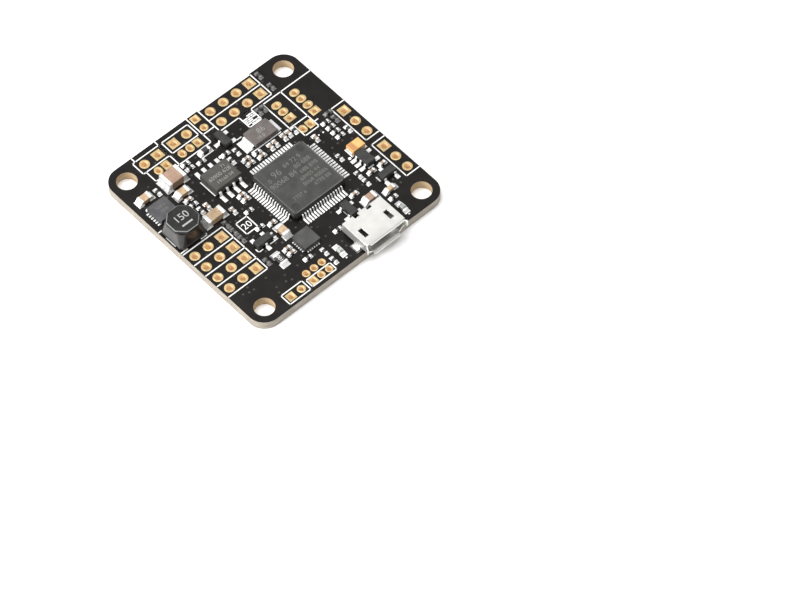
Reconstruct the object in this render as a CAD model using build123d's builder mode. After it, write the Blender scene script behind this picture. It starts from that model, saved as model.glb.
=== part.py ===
from build123d import *
from collections import namedtuple
import os

os.makedirs("parts", exist_ok=True)

# ----------------------------------------------------------------------------
# Driving dimensions, millimetres
# ----------------------------------------------------------------------------

# Board: a square with a standard stack pattern, corners concentric with the holes
BOARD_SIDE = 36.0
BOARD_THICKNESS = 1.6
HOLE_INSET = 2.75
HOLE_SPACING = BOARD_SIDE - 2 * HOLE_INSET
HOLE_RADIUS = 1.6
CORNER_RADIUS = HOLE_INSET
MASK = 0.03
LAND_PROUD = 0.03
CORE_TOP = BOARD_THICKNESS - MASK
SEAT = BOARD_THICKNESS + LAND_PROUD

# The layout is drawn for this side; places stretch with the board, parts keep their size
LAYOUT_SIDE = 36.0
STRETCH = BOARD_SIDE / LAYOUT_SIDE

# Plated holes
HEADER_PITCH = 2.54
PORT_PITCH = 1.5
HEADER_PAD = 1.6
HEADER_DRILL_RADIUS = 0.5
PORT_DRILL_RADIUS = 0.4
PLATING = 0.05

# Leaded packages
LEAD_THICKNESS = 0.15
STANDOFF = 0.08

# Micro receptacle, whose mouth overhangs the -Y edge
PORT_CENTRE_X = 5.2
PORT_WIDTH = 7.4
PORT_HEIGHT = 2.5
PORT_DEPTH = 5.3
PORT_OVERHANG = 0.6
PORT_SHEET = 0.25
PORT_LIP = 0.5
PORT_CONTACT_PITCH = 0.65

# Choke
CHOKE_SIDE = 5.0
CHOKE_HEIGHT = 3.6
CHOKE_TOP_PLATE = 0.75
CHOKE_BASE_PLATE = 0.35
CHOKE_CORNER = 1.3
CHOKE_TOP_SIDE = 4.65
CHOKE_BASE_CORNER = 0.45

# ----------------------------------------------------------------------------
# Helpers
# ----------------------------------------------------------------------------


def spot(x, y, turn=0.0, z=0.0):
    """A place on the board, given on the layout and stretched with the board."""
    return Location((x * STRETCH, y * STRETCH, z), (0, 0, turn))


def grid(x, y, columns, rows, pitch_x, pitch_y):
    """Places of a block of pins centred on a place of the layout, left to right, top down."""
    left = x * STRETCH - (columns - 1) * pitch_x / 2
    top = y * STRETCH + (rows - 1) * pitch_y / 2
    return [
        (left + column * pitch_x, top - row * pitch_y)
        for row in range(rows)
        for column in range(columns)
    ]


def keep(node, label):
    """Name a node and write it out."""
    node.part.label = label
    export_step(node.part, "parts/" + label + ".step")


def copies(piece, places, label):
    """A node that holds one copy of a piece at each place."""
    with BuildPart() as node:
        with Locations(*places):
            add(piece)
    keep(node, label)


# ----------------------------------------------------------------------------
# Plated holes: rows of pins, each with a pad on both faces and a barrel between
# ----------------------------------------------------------------------------

Pins = namedtuple("Pins", "places squares width height drill")

left_header = grid(-14.2, -5.54, 3, 4, HEADER_PITCH, HEADER_PITCH)
top_header = grid(5.88, 15.35, 4, 2, HEADER_PITCH, HEADER_PITCH)
right_upper = grid(16.68, 0.77, 1, 3, HEADER_PITCH, HEADER_PITCH)
right_lower = grid(16.68, -8.07, 1, 3, HEADER_PITCH, HEADER_PITCH)
box_a = grid(-10.08, 15.83, 2, 1, HEADER_PITCH, HEADER_PITCH)
box_b = grid(-4.5, 15.83, 2, 1, HEADER_PITCH, HEADER_PITCH)
under_a = grid(-9.83, 13.56, 2, 1, PORT_PITCH, PORT_PITCH)
under_b = grid(-4.5, 13.56, 3, 1, PORT_PITCH, PORT_PITCH)
top_pair = grid(-0.5, 16.03, 1, 2, 2.0, 2.0)
inner_three = grid(9.95, 9.27, 1, 3, PORT_PITCH, PORT_PITCH)
inner_four = grid(13.5, 8.52, 1, 4, PORT_PITCH, PORT_PITCH)
inner_pair = grid(10.73, 4.9, 2, 1, 1.4, 1.4)
bottom_pair = grid(-10.25, -16.5, 2, 1, 2.0, 2.0)
bottom_block = grid(-5.46, -15.76, 3, 2, PORT_PITCH, 1.6)

PLATED = {
    "plated_holes_left_header": [
        Pins(left_header, (2, 5, 8, 11), HEADER_PAD, HEADER_PAD, HEADER_DRILL_RADIUS),
    ],
    "plated_holes_top_header": [
        Pins(top_header, (3, 7), HEADER_PAD, HEADER_PAD, HEADER_DRILL_RADIUS),
    ],
    "plated_holes_right_headers": [
        Pins(right_upper, (0,), HEADER_PAD, HEADER_PAD, HEADER_DRILL_RADIUS),
        Pins(right_lower, (0,), HEADER_PAD, HEADER_PAD, HEADER_DRILL_RADIUS),
    ],
    "plated_holes_boxed_pairs": [
        Pins(box_a, (1,), HEADER_PAD, HEADER_PAD, HEADER_DRILL_RADIUS),
        Pins(box_b, (0,), HEADER_PAD, HEADER_PAD, HEADER_DRILL_RADIUS),
        Pins(under_a, (1,), 1.25, 1.5, PORT_DRILL_RADIUS),
        Pins(under_b, (2,), 1.25, 1.5, PORT_DRILL_RADIUS),
        Pins(top_pair, (0,), 1.3, 1.3, PORT_DRILL_RADIUS),
    ],
    "plated_holes_inner_rows": [
        Pins(inner_three, (2,), 1.6, 1.3, PORT_DRILL_RADIUS),
        Pins(inner_four, (3,), 1.6, 1.3, PORT_DRILL_RADIUS),
        Pins(inner_pair, (1,), 1.2, 1.5, PORT_DRILL_RADIUS),
    ],
    "plated_holes_bottom_rows": [
        Pins(bottom_pair, (0,), 1.35, 1.35, PORT_DRILL_RADIUS),
        Pins(bottom_block, (3,), 1.2, 1.25, PORT_DRILL_RADIUS),
    ],
}


def pin_pads(pins):
    """The pad outlines of a row: the first pin's pad is square, the others are round."""
    squares = [place for i, place in enumerate(pins.places) if i in pins.squares]
    rounds = [place for i, place in enumerate(pins.places) if i not in pins.squares]
    with Locations(*squares):
        Rectangle(pins.width, pins.height)
    with Locations(*rounds):
        if pins.width == pins.height:
            Circle(pins.width / 2)
        elif pins.width > pins.height:
            SlotOverall(pins.width, pins.height)
        else:
            SlotOverall(pins.height, pins.width, rotation=90)


def all_pads():
    """The pad outlines of every plated hole, as one sketch."""
    with BuildSketch() as pads:
        for rows in PLATED.values():
            for pins in rows:
                pin_pads(pins)
    return pads.sketch


for name, rows in PLATED.items():
    with BuildPart() as plated:
        for pins in rows:
            with BuildSketch(Plane.XY.offset(CORE_TOP)):
                pin_pads(pins)
            extrude(amount=MASK + LAND_PROUD)
            with BuildSketch():
                pin_pads(pins)
            extrude(amount=MASK)
            with BuildSketch(Plane.XY.offset(MASK)):
                with Locations(*pins.places):
                    Circle(pins.drill + PLATING)
            extrude(amount=CORE_TOP - MASK)
            with BuildSketch():
                with Locations(*pins.places):
                    Circle(pins.drill)
            extrude(amount=SEAT, mode=Mode.SUBTRACT)
    keep(plated, name)

# ----------------------------------------------------------------------------
# Chip parts: a ceramic block between two wrapped end caps, on two lands
# ----------------------------------------------------------------------------

Chip = namedtuple("Chip", "length width height band overall land_width gap")

CAP_0402 = Chip(1.0, 0.5, 0.5, 0.25, 1.6, 0.68, 0.45)
CAP_0603 = Chip(1.6, 0.8, 0.65, 0.35, 2.6, 0.95, 0.8)
CAP_0805 = Chip(2.0, 1.25, 0.85, 0.45, 3.05, 1.45, 1.0)
CAP_1206 = Chip(3.2, 1.6, 1.25, 0.55, 4.2, 1.9, 1.9)
CAP_1210 = Chip(3.2, 2.5, 1.6, 0.55, 4.2, 2.8, 1.9)
RES_0402 = Chip(1.0, 0.5, 0.35, 0.22, 1.6, 0.68, 0.45)
RES_0805 = Chip(2.0, 1.25, 0.55, 0.35, 3.1, 1.45, 1.0)
DIODE_0603 = Chip(1.6, 0.8, 0.7, 0.3, 2.4, 0.9, 0.9)
LED_0603 = Chip(1.6, 0.8, 0.35, 0.3, 2.5, 0.95, 0.8)
CAP_WALL = 0.02

# Places on the layout: x, y and a quarter turn where the part stands along Y
ALONG_Y = 90
CAP_0402_PLACES = [
    (0.1, 6.3), (0.1, 5.3), (2.2, 5.15), (-4.7, 1.8), (-4.7, 0.85), (-4.7, -4.95),
    (-6.15, -9.9), (-6.15, -10.85), (7.45, -9.2), (12.1, -7.85), (14.2, -7.85),
    (-10.95, 6.45), (4.25, 5.55, ALONG_Y), (5.2, 5.55, ALONG_Y), (6.85, 5.6, ALONG_Y),
    (7.8, 5.6, ALONG_Y), (-7.4, 0.55, ALONG_Y), (10.15, 2.25, ALONG_Y), (-9.65, 3.7, ALONG_Y),
]
RES_0402_PLACES = [
    (-10.95, 5.35), (-7.0, 11.7), (-7.0, 10.7), (-5.0, 10.45), (2.1, 6.15), (13.15, 3.45),
    (13.15, 2.35), (13.15, 1.25), (13.15, 0.2), (-5.75, -1.0), (-6.5, -4.3), (-5.0, -13.1),
    (1.5, -12.3), (11.3, -13.45), (14.6, 4.55), (-1.5, 9.1), (-13.3, 10.6, ALONG_Y),
    (-10.8, 3.8, ALONG_Y), (-1.6, 7.55, ALONG_Y), (0.0, 8.3, ALONG_Y), (8.8, 5.5, ALONG_Y),
    (14.7, 3.0, ALONG_Y), (14.8, 0.3, ALONG_Y), (10.4, -2.8, ALONG_Y), (10.3, -8.75, ALONG_Y),
    (10.3, -7.0, ALONG_Y), (-6.15, -6.8, ALONG_Y), (-2.5, -13.9, ALONG_Y),
    (-2.5, -16.0, ALONG_Y), (7.3, 11.6, ALONG_Y), (8.2, 11.6, ALONG_Y), (11.7, 16.7, ALONG_Y),
    (11.7, 13.9, ALONG_Y), (-9.75, -0.6, ALONG_Y), (-9.75, -2.35, ALONG_Y),
    (-9.75, -4.1, ALONG_Y), (-9.75, -9.6, ALONG_Y),
]
CAP_0603_PLACES = [(11.9, -12.1)]
CAP_0805_PLACES = [(-15.6, 10.8), (-10.8, 7.9), (-4.6, -7.15, ALONG_Y)]
CAP_0805_BROWN_PLACES = [(8.6, -11.4)]
CAP_1206_PLACES = [(-10.3, 1.4)]
CAP_1210_PLACES = [(-10.3, 10.6)]
RES_0805_PLACES = [(-8.15, -10.65, ALONG_Y)]
DIODE_0603_PLACES = [(-3.4, 11.5)]
LED_0603_PLACES = [(-0.78, -15.3, ALONG_Y), (11.1, -15.7, ALONG_Y)]

lands = []


def chip_lands(chip, places):
    """Two lands for every chip, listed as x, y, width and height."""
    reach = (chip.overall - chip.gap) / 2
    offset = (chip.overall + chip.gap) / 4
    for place in places:
        upright = len(place) > 2
        for side in (-1, 1):
            dx, dy = (0, side * offset) if upright else (side * offset, 0)
            width, height = (chip.land_width, reach) if upright else (reach, chip.land_width)
            lands.append((place[0] * STRETCH + dx, place[1] * STRETCH + dy, width, height))


def chip_block(chip):
    """The ceramic block, which the end caps wrap."""
    with BuildPart() as block:
        with Locations((0, 0, chip.height / 2)):
            Box(chip.length - 2 * CAP_WALL, chip.width - 2 * CAP_WALL, chip.height - 2 * CAP_WALL)
    return block.part


def chip_ends(chip):
    """The two metal end caps, each a five-sided cup round the block."""
    with BuildPart() as ends:
        with Locations((0, 0, chip.height / 2)):
            for side in (-1, 1):
                with Locations((side * (chip.length - chip.band) / 2, 0, 0)):
                    Box(chip.band, chip.width, chip.height)
        add(chip_block(chip), mode=Mode.SUBTRACT)
    return ends.part


def chip_nodes(chip, places, name):
    """The bodies and the end caps of one kind of chip, as two nodes, and its lands."""
    here = [spot(*place, z=SEAT) if len(place) > 2 else spot(*place, 0, SEAT) for place in places]
    copies(chip_block(chip), here, name + "_body")
    copies(chip_ends(chip), here, name + "_ends")
    chip_lands(chip, places)


chip_nodes(CAP_0402, CAP_0402_PLACES, "capacitor_0402")
chip_nodes(CAP_0603, CAP_0603_PLACES, "capacitor_0603")
chip_nodes(CAP_0805, CAP_0805_PLACES, "capacitor_0805")
chip_nodes(CAP_0805, CAP_0805_BROWN_PLACES, "capacitor_0805_port")
chip_nodes(CAP_1206, CAP_1206_PLACES, "capacitor_1206")
chip_nodes(CAP_1210, CAP_1210_PLACES, "capacitor_1210")
chip_nodes(RES_0402, RES_0402_PLACES, "resistor_0402")
chip_nodes(RES_0805, RES_0805_PLACES, "resistor_0805")
chip_nodes(DIODE_0603, DIODE_0603_PLACES, "small_diode")
chip_nodes(LED_0603, LED_0603_PLACES, "status_light")

# Clear lens over each status light, between its end caps
LENS_LENGTH = 1.1
LENS_HEIGHT = 0.16
with BuildPart() as lens:
    with BuildSketch(Plane.XY.offset(LED_0603.height - CAP_WALL)):
        Rectangle(LENS_LENGTH - 0.2, LED_0603.width)
    extrude(amount=LENS_HEIGHT)
    chamfer(lens.edges().group_by(Axis.Z)[-1], 0.04)
copies(lens.part, [spot(*place, SEAT) for place in LED_0603_PLACES], "status_light_lens")

# ----------------------------------------------------------------------------
# Leaded packages
# ----------------------------------------------------------------------------


def moulded_body(width, depth, height, draft, corner=0):
    """A moulded package body, wider at its parting line than at its top and bottom."""
    with BuildSketch() as outline:
        Rectangle(width, depth)
        if corner:
            chamfer(outline.vertices(), corner)
    with BuildPart() as body:
        for way in (1, -1):
            with BuildSketch(Plane.XY.offset(STANDOFF + height / 2)):
                add(outline.sketch)
            extrude(amount=way * height / 2, taper=draft)
    return body.part


def gull_lead(height, reach, width):
    """A formed lead that leaves the body at its parting line and ends in a flat foot."""
    middle = STANDOFF + height / 2
    knee = reach * 0.22
    heel = reach * 0.45
    skew = LEAD_THICKNESS * 0.8
    half = LEAD_THICKNESS / 2
    with BuildPart() as lead:
        with BuildSketch(Plane.XZ):
            with BuildLine():
                Polyline(
                    (0, middle + half),
                    (knee, middle + half),
                    (heel, LEAD_THICKNESS),
                    (reach, LEAD_THICKNESS),
                    (reach, 0),
                    (heel - skew, 0),
                    (knee - skew / 2, middle - half),
                    (0, middle - half),
                    close=True,
                )
            make_face()
        extrude(amount=width / 2, both=True)
    return lead.part


def side_places(x, y, depth, count, pitch, turn, skip=()):
    """Places of the leads along one side of a package, and the way that the leads point."""
    middle = Location((x * STRETCH, y * STRETCH, SEAT), (0, 0, turn))
    offsets = [(i - (count - 1) / 2) * pitch for i in range(count) if i not in skip]
    return [middle * Location((depth / 2, offset, 0)) for offset in offsets]


def lead_lands(places, start, end, width):
    """A land under every lead, from start to end along it."""
    for place in places:
        turned = round(place.orientation.Z) % 180 != 0
        centre = place * Location(((start + end) / 2, 0, 0))
        size = (width, end - start) if turned else (end - start, width)
        lands.append((centre.position.X, centre.position.Y, *size))


# Processor: square, with a row of leads on all four sides and two round marks in its top
MCU_PLACE = (2.96, -2.13)
MCU_SIDE = 10.0
MCU_HEIGHT = 1.4
MCU_PITCH = 0.5
MCU_PINS = 16
MCU_REACH = 1.0
MCU_MARK = 3.75
MCU_DRAFT = 15
MCU_CORNER = 0.4
with BuildPart() as mcu_body:
    with Locations(spot(*MCU_PLACE, 0, SEAT)):
        add(moulded_body(MCU_SIDE, MCU_SIDE, MCU_HEIGHT, MCU_DRAFT, MCU_CORNER))
    with Locations(spot(*MCU_PLACE, 0, SEAT + STANDOFF + MCU_HEIGHT)):
        with Locations((-MCU_MARK, -MCU_MARK, 0), (MCU_MARK, MCU_MARK, 0)):
            Cylinder(0.6, 0.12, mode=Mode.SUBTRACT)
keep(mcu_body, "processor_body")

mcu_leads = [
    place
    for turn in (0, 90, 180, 270)
    for place in side_places(*MCU_PLACE, MCU_SIDE, MCU_PINS, MCU_PITCH, turn)
]
copies(gull_lead(MCU_HEIGHT, MCU_REACH, 0.22), mcu_leads, "processor_leads")
lead_lands(mcu_leads, 0.35, MCU_REACH + 0.5, 0.3)

# Memory chip: four leads on each long side
MEMORY_PLACE = (-5.03, 5.98)
MEMORY_SIZE = (4.9, 3.9, 1.45)
memory_leads = [
    place
    for turn in (90, 270)
    for place in side_places(*MEMORY_PLACE, MEMORY_SIZE[1], 4, 1.27, turn)
]
copies(moulded_body(*MEMORY_SIZE, 7), [spot(*MEMORY_PLACE, 0, SEAT)], "memory_chip_body")
copies(gull_lead(MEMORY_SIZE[2], 1.05, 0.42), memory_leads, "memory_chip_leads")
lead_lands(memory_leads, 0.2, 1.55, 0.6)

# Regulator with three leads on its left and two on its right
FIVE_LEAD_PLACE = (12.9, -5.6)
SMALL_BODY = (1.6, 2.9, 1.05)
SMALL_PITCH = 0.95
five_leads = side_places(*FIVE_LEAD_PLACE, SMALL_BODY[0], 3, SMALL_PITCH, 180)
five_leads += side_places(*FIVE_LEAD_PLACE, SMALL_BODY[0], 3, SMALL_PITCH, 0, skip=(1,))
copies(moulded_body(*SMALL_BODY, 8), [spot(*FIVE_LEAD_PLACE, 0, SEAT)], "low_drop_regulator_body")
copies(gull_lead(SMALL_BODY[2], 0.62, 0.36), five_leads, "low_drop_regulator_leads")
lead_lands(five_leads, 0.2, 1.1, 0.6)

# Surge guard beside the receptacle: two leads on each side
GUARD_PLACE = (4.95, -10.9)
GUARD_BODY = (1.4, 2.9, 1.0)
guard_leads = side_places(*GUARD_PLACE, GUARD_BODY[0], 2, 1.8, 180)
guard_leads += side_places(*GUARD_PLACE, GUARD_BODY[0], 2, 1.8, 0)
copies(moulded_body(*GUARD_BODY, 8), [spot(*GUARD_PLACE, 0, SEAT)], "surge_guard_body")
copies(gull_lead(GUARD_BODY[2], 0.5, 0.4), guard_leads, "surge_guard_leads")
lead_lands(guard_leads, 0.2, 0.8, 0.6)

# Three-lead transistors: one lead on the side that the turn points to, two on the other
TRANSISTOR_BODY = (1.3, 2.9, 0.95)
TRANSISTORS = [(-0.1, 11.2, 180), (-7.93, -6.7, 270), (13.4, -9.8, 90)]
transistor_leads = []
for x, y, turn in TRANSISTORS:
    single = side_places(x, y, TRANSISTOR_BODY[0], 1, 1.9, turn)
    pair = side_places(x, y, TRANSISTOR_BODY[0], 2, 1.9, turn + 180)
    transistor_leads += single + pair
copies(
    moulded_body(*TRANSISTOR_BODY, 8),
    [spot(x, y, turn, SEAT) for x, y, turn in TRANSISTORS],
    "transistor_body",
)
copies(gull_lead(TRANSISTOR_BODY[2], 0.52, 0.4), transistor_leads, "transistor_leads")
lead_lands(transistor_leads, 0.2, 0.95, 0.65)

# Flat power diode: a wide lead at each end, the left one longer
DIODE_PLACE = (4.63, 8.2)
DIODE_BODY = (4.4, 2.95, 0.95)
DIODE_LEAD_WIDTH = 2.3
diode_ends = side_places(*DIODE_PLACE, DIODE_BODY[0], 1, 1.0, 180)
diode_ends += side_places(*DIODE_PLACE, DIODE_BODY[0], 1, 1.0, 0)
copies(moulded_body(*DIODE_BODY, 6), [spot(*DIODE_PLACE, 0, SEAT)], "power_diode_body")
with BuildPart() as diode_leads:
    for place, reach in zip(diode_ends, (1.25, 0.7)):
        with Locations(place):
            add(gull_lead(DIODE_BODY[2], reach, DIODE_LEAD_WIDTH))
keep(diode_leads, "power_diode_terminals")
lead_lands(diode_ends[:1], 0.1, 1.5, DIODE_LEAD_WIDTH + 0.1)
lead_lands(diode_ends[1:], 0.1, 0.85, DIODE_LEAD_WIDTH + 0.1)

# ----------------------------------------------------------------------------
# Leadless packages: a block on thin contacts round its underside
# ----------------------------------------------------------------------------

CONTACT = 0.05
CONTACT_LENGTH = 0.3


def leadless(place, size, count, pitch, sides, name, pad, toe):
    """A leadless package as two nodes, and lands that reach past its outline."""
    width, depth, height = size
    with BuildPart() as body:
        with Locations(spot(*place, 0, SEAT + CONTACT + height / 2)):
            Box(width, depth, height)
    keep(body, name + "_body")
    here = []
    for turn in sides:
        across = width if turn % 180 == 0 else depth
        here += side_places(*place, across, count, pitch, turn)
    with BuildPart() as contact:
        with Locations((-CONTACT_LENGTH / 2, 0, CONTACT / 2)):
            Box(CONTACT_LENGTH, pad, CONTACT)
    copies(contact.part, here, name + "_contacts")
    lead_lands(here, -CONTACT_LENGTH, toe, pad)


leadless((-3.15, -10.65), (3.0, 3.0, 0.9), 6, 0.42, (0, 90, 180, 270), "motion_sensor", 0.22, 0.22)
leadless((-15.05, 7.3), (3.3, 3.3, 1.0), 6, 0.5, (0, 180), "buck_regulator", 0.28, 0.4)

# ----------------------------------------------------------------------------
# Tantalum capacitor: a moulded block with folded strip terminals
# ----------------------------------------------------------------------------


def strip_terminal(rise, reach, foot, width, sheet):
    """A strip that leaves a block's end face, drops, and folds back under the block."""
    with BuildPart() as strip:
        with BuildSketch(Plane.XZ):
            with BuildLine():
                Polyline(
                    (0, rise + sheet),
                    (reach, rise + sheet),
                    (reach, 0),
                    (-foot, 0),
                    (-foot, sheet),
                    (reach - sheet, sheet),
                    (reach - sheet, rise),
                    (0, rise),
                    close=True,
                )
            make_face()
        extrude(amount=width / 2, both=True)
    return strip.part


def strip_block(place, size, rise, reach, foot, width, sheet, name):
    """A block that stands on two folded strip terminals, as two nodes."""
    length, depth, height = size
    with BuildPart() as block:
        with BuildSketch(Plane.XY.offset(rise)):
            Rectangle(length, depth)
        extrude(amount=height - rise, taper=4)
        with BuildSketch(Plane.XY.offset(rise)):
            Rectangle(length, depth)
        extrude(amount=sheet - rise, taper=4)
    copies(block.part, [spot(*place, 0, SEAT)], name + "_body")
    ends = [
        spot(*place, turn, SEAT) * Location((length / 2, 0, 0))
        for turn in (0, 180)
    ]
    copies(strip_terminal(rise, reach, foot, width, sheet), ends, name + "_terminals")


TANTALUM_PLACE = (13.27, -3.1)
TANTALUM_SIZE = (2.4, 1.7, 1.05)
strip_block(TANTALUM_PLACE, TANTALUM_SIZE, 0.45, 0.15, 0.5, 1.2, 0.12, "tantalum")
for side in (-1, 1):
    lands.append((TANTALUM_PLACE[0] * STRETCH + side * 1.1, TANTALUM_PLACE[1] * STRETCH, 0.75, 1.75))

# ----------------------------------------------------------------------------
# Choke: a square base and an eight-sided top plate on a round post, wound and coated
# ----------------------------------------------------------------------------

CHOKE_PLACE = (-15.2, 2.5)
CHOKE_TERMINAL = 0.15
CHOKE_POST_RADIUS = 1.1
CHOKE_COAT_STEP = 0.05
CHOKE_COAT_TUCK = 0.15
choke_base = SEAT + CHOKE_TERMINAL
choke_upper = SEAT + CHOKE_HEIGHT - CHOKE_TOP_PLATE
choke_deck = choke_base + CHOKE_BASE_PLATE
with BuildPart() as choke_core:
    for level, side, corner, thickness in (
        (choke_base, CHOKE_SIDE, CHOKE_BASE_CORNER, CHOKE_BASE_PLATE),
        (choke_upper, CHOKE_TOP_SIDE, CHOKE_CORNER, CHOKE_TOP_PLATE),
    ):
        with BuildSketch(Plane.XY.offset(level)) as plate:
            with Locations(spot(*CHOKE_PLACE)):
                Rectangle(side, side)
            chamfer(plate.vertices(), corner)
        extrude(amount=thickness)
    with BuildSketch(Plane.XY.offset(choke_base)):
        with Locations(spot(*CHOKE_PLACE)):
            Circle(CHOKE_POST_RADIUS)
    extrude(amount=choke_upper - choke_base)
    chamfer(choke_core.edges().group_by(Axis.Z)[-1], 0.12)
keep(choke_core, "choke_core")

with BuildPart() as choke_coat:
    for level, side, corner in (
        (choke_deck, CHOKE_SIDE - 2 * CHOKE_COAT_STEP, CHOKE_BASE_CORNER + 0.15),
        (choke_upper, CHOKE_TOP_SIDE - 2 * CHOKE_COAT_TUCK, CHOKE_CORNER),
    ):
        with BuildSketch(Plane.XY.offset(level)):
            with Locations(spot(*CHOKE_PLACE)):
                RectangleRounded(side, side, corner)
    loft()
    with BuildSketch(Plane.XY.offset(choke_deck)):
        with Locations(spot(*CHOKE_PLACE)):
            Circle(CHOKE_POST_RADIUS)
    extrude(amount=choke_upper - choke_deck, mode=Mode.SUBTRACT)
keep(choke_coat, "choke_winding")

with BuildPart() as choke_terminals:
    with Locations(spot(*CHOKE_PLACE, 0, SEAT + CHOKE_TERMINAL / 2)):
        with Locations((-1.85, 0, 0), (1.85, 0, 0)):
            Box(1.1, 1.9, CHOKE_TERMINAL)
keep(choke_terminals, "choke_terminals")
for side in (-1, 1):
    lands.append((CHOKE_PLACE[0] * STRETCH + side * 1.9, CHOKE_PLACE[1] * STRETCH, 1.3, 2.1))

# ----------------------------------------------------------------------------
# Micro receptacle: folded shell with flared lips and ears, insulator and contacts
# ----------------------------------------------------------------------------

port_x = PORT_CENTRE_X * STRETCH
port_front = -BOARD_SIDE / 2 - PORT_OVERHANG
port_back = port_front + PORT_DEPTH
port_top = SEAT + PORT_HEIGHT
port_half = PORT_WIDTH / 2
port_chamfer = 0.8
mouth_plane = Plane((port_x, port_front, SEAT), x_dir=(1, 0, 0), z_dir=(0, 1, 0))


def port_section(inset):
    """The receptacle's cross-section, narrower at its foot, drawn with +Y of the plane down."""
    half = port_half - inset
    top = -PORT_HEIGHT + inset
    foot = -inset
    with BuildSketch() as section:
        with BuildLine():
            Polyline(
                (-half, top),
                (half, top),
                (half, -port_chamfer),
                (half - port_chamfer, foot),
                (-half + port_chamfer, foot),
                (-half, -port_chamfer),
                close=True,
            )
        make_face()
    return section.sketch


def lip(width, length, sheet, plane):
    """A flared lip, drawn in the plane that its bend lies in."""
    rise = length * 0.55
    with BuildPart() as strip:
        with BuildSketch(plane):
            with BuildLine():
                Polyline((0, 0), (-length, rise), (-length, rise + sheet), (0, sheet), close=True)
            make_face()
        extrude(amount=width / 2, both=True)
    return strip.part


SLOT_SIZE = (0.75, 1.7)
SLOT_REACH = 2.45
SLOT_BACK = 2.05
EAR_BACK = 2.1
with BuildPart() as port_shell:
    with BuildSketch(mouth_plane):
        add(port_section(0))
    extrude(amount=PORT_DEPTH)
    with BuildSketch(mouth_plane):
        add(port_section(PORT_SHEET))
    extrude(amount=PORT_DEPTH, mode=Mode.SUBTRACT)
    with Locations((port_x, port_front, port_top)):
        with Locations((-SLOT_REACH, SLOT_BACK, 0), (SLOT_REACH, SLOT_BACK, 0)):
            Box(*SLOT_SIZE, 4 * PORT_SHEET, mode=Mode.SUBTRACT)
        with Locations((-1.2, PORT_DEPTH, 0), (1.2, PORT_DEPTH, 0)):
            Box(0.9, 1.2, 3 * PORT_SHEET, mode=Mode.SUBTRACT)
    upper = Plane((port_x, port_front, port_top - PORT_SHEET), x_dir=(0, 1, 0), z_dir=(1, 0, 0))
    lower = Plane((port_x, port_front, SEAT + PORT_SHEET), x_dir=(0, 1, 0), z_dir=(-1, 0, 0))
    add(lip(PORT_WIDTH - 1.0, PORT_LIP, PORT_SHEET, upper))
    add(lip(PORT_WIDTH - 2.4, PORT_LIP, PORT_SHEET, lower))
    for side in (-1, 1):
        root = (port_x + side * (port_half - PORT_SHEET), port_front, SEAT + 1.5)
        add(lip(1.2, PORT_LIP, PORT_SHEET, Plane(root, x_dir=(0, 1, 0), z_dir=(0, 0, -side))))
    with Locations((port_x, port_front, SEAT)):
        for side in (-1, 1):
            with Locations((side * (port_half + 0.1), EAR_BACK, PORT_SHEET / 2)):
                Box(0.8, 1.3, PORT_SHEET)
            with Locations((side * (port_half - PORT_SHEET / 2), EAR_BACK, 0.5)):
                Box(PORT_SHEET, 1.3, 1.0)
keep(port_shell, "receptacle_shell")
for side in (-1, 1):
    lands.append((port_x + side * (port_half + 0.15), port_front + EAR_BACK, 1.0, 1.7))

TONGUE_FRONT = 1.0
INSULATOR_FRONT = 3.2
TONGUE_SIZE = (3.7, 0.6)
TONGUE_LEVEL = 1.55
insulator_plane = mouth_plane.offset(INSULATOR_FRONT)
with BuildPart() as insulator:
    with BuildSketch(insulator_plane):
        add(port_section(PORT_SHEET))
    extrude(amount=PORT_DEPTH - INSULATOR_FRONT - 0.7)
    with BuildSketch(mouth_plane.offset(TONGUE_FRONT)):
        with Locations((0, -TONGUE_LEVEL)):
            Rectangle(*TONGUE_SIZE)
    extrude(amount=INSULATOR_FRONT - TONGUE_FRONT)
keep(insulator, "receptacle_insulator")

CONTACT_WIDTH = 0.3
CONTACT_SHEET = 0.15
tail_back = port_back + 0.45
with BuildPart() as contacts:
    with Locations((port_x, 0, 0)):
        with GridLocations(PORT_CONTACT_PITCH, 0, 5, 1):
            with Locations(
                (0, port_front + (TONGUE_FRONT + INSULATOR_FRONT) / 2 + 0.1,
                 SEAT + TONGUE_LEVEL - TONGUE_SIZE[1] / 2 - CONTACT_SHEET / 2)
            ):
                Box(CONTACT_WIDTH, INSULATOR_FRONT - TONGUE_FRONT - 0.2, CONTACT_SHEET)
            tail_front = port_front + PORT_DEPTH - 0.7
            with Locations((0, (tail_front + tail_back) / 2, SEAT + CONTACT_SHEET / 2 + PORT_SHEET)):
                Box(CONTACT_WIDTH, tail_back - tail_front, CONTACT_SHEET)
            with Locations((0, tail_back - 0.15, SEAT + PORT_SHEET / 2)):
                Box(CONTACT_WIDTH, 0.3, PORT_SHEET)
keep(contacts, "receptacle_contacts")
for i in range(5):
    lands.append((port_x + (i - 2) * PORT_CONTACT_PITCH, tail_back, 0.4, 0.8))

# ----------------------------------------------------------------------------
# The board itself: core, lands on it, and a mask on each face that leaves them bare
# ----------------------------------------------------------------------------

hole_places = GridLocations(HOLE_SPACING, HOLE_SPACING, 2, 2)


def board_outline():
    """The board's outline with its four mounting holes."""
    RectangleRounded(BOARD_SIDE, BOARD_SIDE, CORNER_RADIUS)
    with hole_places:
        Circle(HOLE_RADIUS, mode=Mode.SUBTRACT)


by_size = {}
for x, y, width, height in lands:
    by_size.setdefault((round(width, 4), round(height, 4)), []).append((x, y))
with BuildSketch() as land_outlines:
    for (width, height), places in by_size.items():
        with Locations(*places):
            Rectangle(width, height)

with BuildPart() as solder_lands:
    with BuildSketch(Plane.XY.offset(CORE_TOP)):
        add(land_outlines.sketch)
    extrude(amount=MASK + LAND_PROUD)
keep(solder_lands, "solder_lands")

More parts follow.
